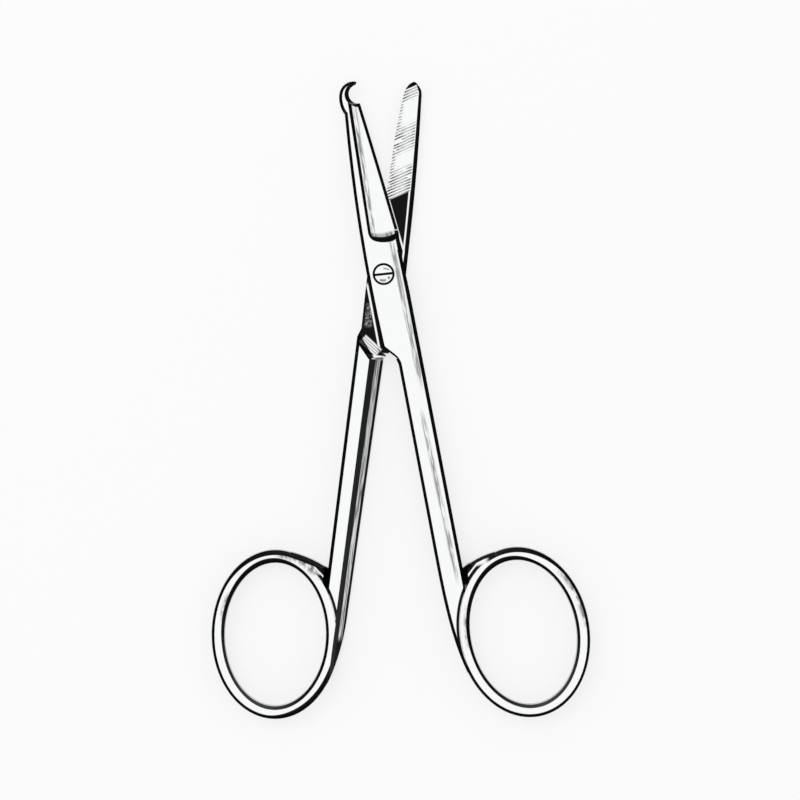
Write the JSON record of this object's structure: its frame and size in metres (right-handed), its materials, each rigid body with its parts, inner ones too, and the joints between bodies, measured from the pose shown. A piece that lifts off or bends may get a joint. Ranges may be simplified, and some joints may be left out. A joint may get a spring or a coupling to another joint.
{
  "type": "suture scissors",
  "caption": "Small hand scissors with a hooked blade and a blunt blade lapped at a slotted pivot screw, with oval finger rings, for lifting and cutting stitches.",
  "frame": {"origin": "on the pivot axis, at the level of the surface the scissors lie on", "axes": "+Y along the line that halves the opening, towards the blade tips; +Z out of the front faces, along the pivot screw towards its head; +X towards the hooked half's finger ring"},
  "size_m": [0.0663, 0.1123, 0.0036],
  "materials": {
    "half_steel": "satin-polished stainless steel, cross-ground on the blades' facing sides",
    "screw_steel": "polished stainless steel"
  },
  "bodies": {
    "plain_side": {"plain_half": "half_steel", "pivot_screw": "screw_steel"},
    "hook_side": {"hook_half": "half_steel"}
  },
  "joints": [
    {"name": "pivot", "type": "hinge", "parent": "plain_side", "child": "hook_side", "pos_m": [0, 0, 0.0018], "axis": [0, 0, 1], "range_deg": [-16.6, 120]}
  ]
}
